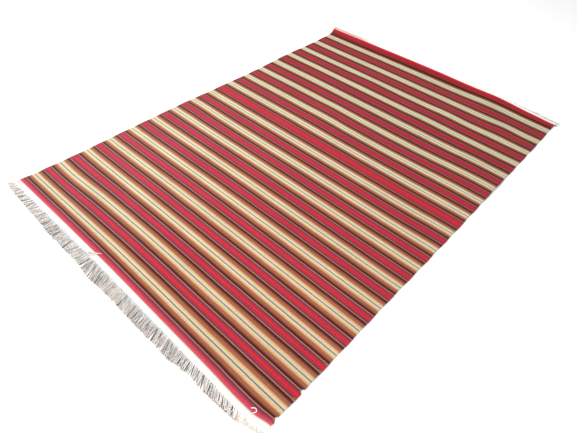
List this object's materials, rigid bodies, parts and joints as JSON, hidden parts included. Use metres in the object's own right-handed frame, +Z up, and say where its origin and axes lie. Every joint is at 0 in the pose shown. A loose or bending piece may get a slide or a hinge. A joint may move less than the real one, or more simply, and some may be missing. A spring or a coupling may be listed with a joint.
{
  "type": "nepalese rug",
  "caption": "Flat-woven wool rug with bands of stripes across its width, white woven headings, loose warp fringes and one end that curls up off the floor.",
  "frame": {"origin": "on the floor, under the middle of the whole rug's bounding box, fringes included", "axes": "+Y along the rug towards the end that curls up, +X across it from the left selvedge to the right one, +Z up"},
  "size_m": [1.6437, 2.4628, 0.0424],
  "materials": {
    "striped_wool": "matt weft-faced wool in red, cream, brown, orange and blue stripes",
    "heading": "matt white plain weave",
    "fringe": "matt undyed twisted yarn"
  },
  "bodies": {
    "root": {"field": "striped_wool", "near_heading": "heading", "far_heading": "heading", "near_fringe": "fringe", "far_fringe": "fringe"}
  },
  "joints": []
}
